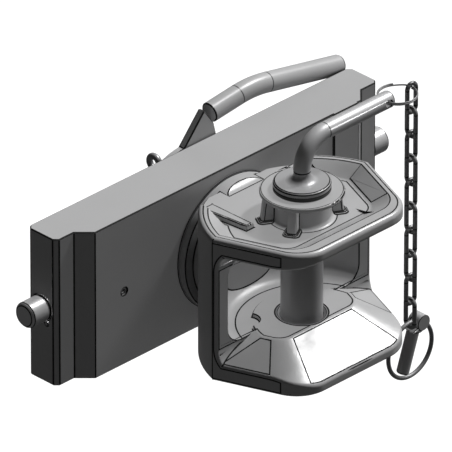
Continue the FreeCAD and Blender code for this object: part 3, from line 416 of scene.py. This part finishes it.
# Locking pins and their pegs
# Ground round steel bars that slide in the plate's bores, with turning marks round them and a chamfered
# free end. Each has a peg across it, which runs in a slot of the lever's disc.
PIN_BREAK = 0.95 * MM
lock_pin_steel = metal("lock_pin_steel", (0.50, 0.50, 0.505), 0.25, 0.38, 0.5, 0.1, marks=(1, 0, 0),
                       Blotch=0.1, Blotch_Scale=60.0)
for side in ("left", "right"):
    refine(f"{side}_lock_pin", lock_pin_steel, "turned", PIN_BREAK)
    refine(f"{side}_cam_peg", lock_pin_steel, "turned", SCREW_BREAK)

# Swivel bearing
# A turned sleeve, washers, castle nut and cotter hold the jaw's shank. They are bright steel with a trace
# of oil, and the sleeve's rear end carries the lever's disc behind a spring clip.
bearing_steel = metal("bearing_steel", (0.26, 0.26, 0.265), 0.4, 0.38, 0.5, 0.1, marks=(0, 1, 0), Blotch=0.15)
for node in ("swivel_bush", "hub_circlip", "thrust_washer", "shank_washer", "shank_nut", "cotter_pin",
             "upper_pin_bush", "lower_pin_bush"):
    refine(node, bearing_steel, "turned", SCREW_BREAK)
dress("lever_spring", bearing_steel)

# Lever
# A flame-cut steel disc and arm with a bent round bar welded to its edge, all in the plate's grey paint. A
# thin ring shows where the bar starts and stops to bend.
ROD_START = Vector((28.3, 23.2, 74.0)) * MM
ROD_BEND = Vector((72.0, 23.2, 79.0)) * MM
ROD_END = Vector((163.0, 23.2, 60.4)) * MM
ROD_BEND_RADIUS = 95 * MM
to_start = (ROD_START - ROD_BEND).normalized()
to_end = (ROD_END - ROD_BEND).normalized()
bend_reach = ROD_BEND_RADIUS / math.tan(to_start.angle(to_end) / 2)
bend_lines = [(away, (ROD_BEND + away * bend_reach).dot(away), NO_REPEAT) for away in (to_start, to_end)]
lever_paint = metal("lever_paint", PAINT_GREY, 0.0, 0.42, 0.5, 0.1, Blotch=0.08)
rod_paint = metal("rod_paint", PAINT_GREY, 0.0, 0.36, 0.5, 0.08, lines=bend_lines, Blotch=0.08)
refine("lever_plate", lever_paint, "plate")
refine("lever_rod", rod_paint, "turned")

# Clevis jaw
# A steel casting with soft rounded edges, painted the same grey. Its skin has a fine cast grain, and
# the shank and rosette behind it are turned.
CAST_BREAK = 1.1 * MM
cast_paint = metal("cast_paint", PAINT_GREY, 0.0, 0.36, 0.5, 0.2, Blotch=0.07, Blotch_Scale=70.0,
                   Grain_Scale=1400.0)
refine("clevis_jaw", cast_paint, "cast", CAST_BREAK)

# Coupling pin, handle and washer
# A forged and turned steel pin with a bent rod welded into its head as a handle. The washer under the head
# is black rubber.
washer_rubber = metal("washer_rubber", (0.03, 0.03, 0.03), 0.0, 0.6, 0.4, 0.2, Blotch=0.2)
refine("pin_washer", washer_rubber, "turned", SCREW_BREAK)
coupling_pin_steel = metal("coupling_pin_steel", (0.34, 0.34, 0.345), 0.2, 0.36, 0.5, 0.1, marks=(0, 0, 1),
                           Blotch=0.1, Blotch_Scale=60.0)
refine("coupling_pin", coupling_pin_steel, "turned", PIN_BREAK)
HANDLE_TURN_END = 23.1 * MM
handle_steel = metal("handle_steel", (0.44, 0.44, 0.445), 0.2, 0.44, 0.5, 0.08,
                     lines=[((1, 0, 0), HANDLE_TURN_END, NO_REPEAT)], Blotch=0.1, Blotch_Scale=60.0)
refine("pin_handle", handle_steel, "turned", PIN_BREAK)

# Chain
# Ten oval links of zinc-plated wire, each bent round and butt-welded in the middle of one side, where the
# seam leaves a small swelling. Every other link is turned a quarter.
LINK_HALF_WIDTH = 4.4 * MM
LINK_HALF_HEIGHT = 11.825 * MM
LINK_WIRE = 1.75 * MM
LINK_PITCH = 20 * MM
LINK_COUNT = 10
LINK_POINTS = 72
CORNER_POINTS = 16
WIRE_SIDES = 16
WELD_SWELL = 0.04
ZINC_GREY = (0.20, 0.20, 0.203)
FIRST_LINK_TOP = 114.15 * MM
CHAIN_PLACE = Vector((112.2, -100.0, 0)) * MM


def growth_tree(name, sizes):
    """Empty geometry node tree with named sizes."""
    tree = bpy.data.node_groups.new(name, "GeometryNodeTree")
    tree.interface.new_socket(name="Geometry", in_out="INPUT", socket_type="NodeSocketGeometry")
    for label, kind in sizes:
        tree.interface.new_socket(name=label, in_out="INPUT", socket_type=kind)
    tree.interface.new_socket(name="Geometry", in_out="OUTPUT", socket_type="NodeSocketGeometry")
    return tree, tree.nodes.new("NodeGroupInput"), tree.nodes.new("NodeGroupOutput")


def wire_along(tree, given, out, path, made):
    """Ends a tree with a round wire along its path."""
    link = tree.links.new
    section = tree.nodes.new("GeometryNodeCurvePrimitiveCircle")
    section.inputs["Resolution"].default_value = WIRE_SIDES
    link(given.outputs["Wire"], section.inputs["Radius"])
    wire = tree.nodes.new("GeometryNodeCurveToMesh")
    wire.inputs["Fill Caps"].default_value = True
    link(path, wire.inputs["Curve"])
    link(section.outputs["Curve"], wire.inputs["Profile Curve"])
    placed = tree.nodes.new("GeometryNodeTransform")
    link(wire.outputs["Mesh"], placed.inputs["Geometry"])
    link(given.outputs["Turn"], placed.inputs["Rotation"])
    link(given.outputs["Centre"], placed.inputs["Translation"])
    smooth = tree.nodes.new("GeometryNodeSetShadeSmooth")
    link(placed.outputs["Geometry"], smooth.inputs["Geometry"])
    real = tree.nodes.new("GeometryNodeRealizeInstances")
    link(smooth.outputs["Geometry"], real.inputs["Geometry"])
    finish = tree.nodes.new("GeometryNodeSetMaterial")
    finish.inputs["Material"].default_value = made
    link(real.outputs["Geometry"], finish.inputs["Geometry"])
    link(finish.outputs["Geometry"], out.inputs["Geometry"])


def grown(tree, node, values):
    """Plain mesh piece that a tree grows from the given sizes, in place of a solid."""
    piece = bpy.data.objects.new(f"{node}_finished", bpy.data.meshes.new(f"{node}_seed"))
    bpy.context.collection.objects.link(piece)
    growth = piece.modifiers.new("growth", "NODES")
    growth.node_group = tree
    for item in tree.interface.items_tree:
        if item.in_out == "INPUT" and item.name in values:
            growth[item.identifier] = values[item.name]
    made = piece.evaluated_get(bpy.context.evaluated_depsgraph_get())
    mesh = bpy.data.meshes.new_from_object(made)
    piece.modifiers.remove(growth)
    piece.data = mesh
    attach(piece, body_of[node])
    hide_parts(node)


def link_tree(made):
    """Oval wire loop with a small swelling at its weld."""
    tree, given, out = growth_tree("oval_link",
                                   [("Half Width", "NodeSocketFloat"), ("Half Height", "NodeSocketFloat"),
                                    ("Wire", "NodeSocketFloat"), ("Weld", "NodeSocketFloat"),
                                    ("Turn", "NodeSocketVector"), ("Centre", "NodeSocketVector")])
    link = tree.links.new
    outline = tree.nodes.new("GeometryNodeCurvePrimitiveQuadrilateral")
    link(maths(tree, "MULTIPLY", given.outputs["Half Width"], 2.0), outline.inputs["Width"])
    link(maths(tree, "MULTIPLY", given.outputs["Half Height"], 2.0), outline.inputs["Height"])
    rounded = tree.nodes.new("GeometryNodeFilletCurve")
    rounded.mode = "POLY"
    rounded.inputs["Count"].default_value = CORNER_POINTS
    link(outline.outputs["Curve"], rounded.inputs["Curve"])
    link(maths(tree, "MULTIPLY", given.outputs["Half Width"], 0.999), rounded.inputs["Radius"])
    even = tree.nodes.new("GeometryNodeResampleCurve")
    even.inputs["Count"].default_value = LINK_POINTS
    link(rounded.outputs["Curve"], even.inputs["Curve"])
    where = tree.nodes.new("GeometryNodeInputPosition")
    split = tree.nodes.new("ShaderNodeSeparateXYZ")
    link(where.outputs["Position"], split.inputs["Vector"])
    right_side = maths(tree, "GREATER_THAN", split.outputs["X"], 0.0)
    away = maths(tree, "DIVIDE", maths(tree, "ABSOLUTE", split.outputs["Y"]), given.outputs["Wire"])
    near = maths(tree, "MULTIPLY", maths(tree, "SUBTRACT", 1.0, away, clamp=True), right_side)
    swollen = tree.nodes.new("GeometryNodeSetCurveRadius")
    link(even.outputs["Curve"], swollen.inputs["Curve"])
    thicker = maths(tree, "ADD", maths(tree, "MULTIPLY", near, given.outputs["Weld"]), 1.0)
    link(thicker, swollen.inputs["Radius"])
    wire_along(tree, given, out, swollen.outputs["Curve"], made)
    return tree


link_lines = [((0, 0, 1), FIRST_LINK_TOP - LINK_HALF_WIDTH, LINK_PITCH),
              ((0, 0, 1), FIRST_LINK_TOP - 2 * LINK_HALF_HEIGHT + LINK_HALF_WIDTH, LINK_PITCH)]
chain_zinc = metal("chain_zinc", ZINC_GREY, 0.3, 0.45, 0.4, 0.1, lines=link_lines, Blotch=0.2)
LINK_TREE = link_tree(chain_zinc)
for number in range(LINK_COUNT):
    middle = FIRST_LINK_TOP - number * LINK_PITCH - LINK_HALF_HEIGHT
    grown(LINK_TREE, f"chain_link_{number + 1:02d}",
          {"Half Width": LINK_HALF_WIDTH, "Half Height": LINK_HALF_HEIGHT,
           "Wire": LINK_WIRE, "Weld": WELD_SWELL,
           "Turn": (math.radians(90), 0, math.radians(90) * (number % 2)),
           "Centre": tuple(CHAIN_PLACE + Vector((0, 0, middle)))})

# Rings and linch pin
# A split ring of nearly two turns of wire goes through the handle's end, and the last link holds a plain
# ring with the linch pin. All are zinc-plated steel.
SPLIT_RADIUS = 14.5 * MM
SPLIT_WIRE = 0.62 * MM
SPLIT_TURNS = 1.84
SPLIT_CROSSING = (0.46, 0.54)
COIL_POINTS = 64
SPLIT_PLACE = Vector((97.7, -100.0, 111.0)) * MM


def split_ring_tree(made):
    """Two turns of wire that change places in the gap between the wire's two ends."""
    tree, given, out = growth_tree("split_ring",
                                   [("Radius", "NodeSocketFloat"), ("Wire", "NodeSocketFloat"),
                                    ("Turns", "NodeSocketFloat"), ("Turn", "NodeSocketVector"),
                                    ("Centre", "NodeSocketVector")])
    link = tree.links.new
    coil = tree.nodes.new("GeometryNodeCurveSpiral")
    coil.inputs["Resolution"].default_value = COIL_POINTS
    coil.inputs["Height"].default_value = 0.0
    link(given.outputs["Turns"], coil.inputs["Rotations"])
    link(given.outputs["Radius"], coil.inputs["Start Radius"])
    link(given.outputs["Radius"], coil.inputs["End Radius"])
    along = tree.nodes.new("GeometryNodeSplineParameter")
    cross = tree.nodes.new("ShaderNodeMapRange")
    cross.interpolation_type = "SMOOTHSTEP"
    cross.inputs["From Min"].default_value = SPLIT_CROSSING[0]
    cross.inputs["From Max"].default_value = SPLIT_CROSSING[1]
    link(along.outputs["Factor"], cross.inputs["Value"])
    link(maths(tree, "MULTIPLY", given.outputs["Wire"], -1.0), cross.inputs["To Min"])
    link(given.outputs["Wire"], cross.inputs["To Max"])
    lift = tree.nodes.new("ShaderNodeCombineXYZ")
    link(cross.outputs["Result"], lift.inputs["Z"])
    shifted = tree.nodes.new("GeometryNodeSetPosition")
    link(coil.outputs["Curve"], shifted.inputs["Geometry"])
    link(lift.outputs["Vector"], shifted.inputs["Offset"])
    wire_along(tree, given, out, shifted.outputs["Geometry"], made)
    return tree


ring_zinc = metal("ring_zinc", ZINC_GREY, 0.3, 0.45, 0.4, 0.1, Blotch=0.2)
grown(split_ring_tree(ring_zinc), "handle_ring",
      {"Radius": SPLIT_RADIUS, "Wire": SPLIT_WIRE, "Turns": SPLIT_TURNS, "Turn": (0, 0, 0),
       "Centre": tuple(SPLIT_PLACE)})
dress("linch_ring", ring_zinc)
linch_zinc = metal("linch_zinc", (0.42, 0.42, 0.425), 0.3, 0.4, 0.5, 0.1, Blotch=0.15)
refine("linch_pin", linch_zinc, "turned", SCREW_BREAK)
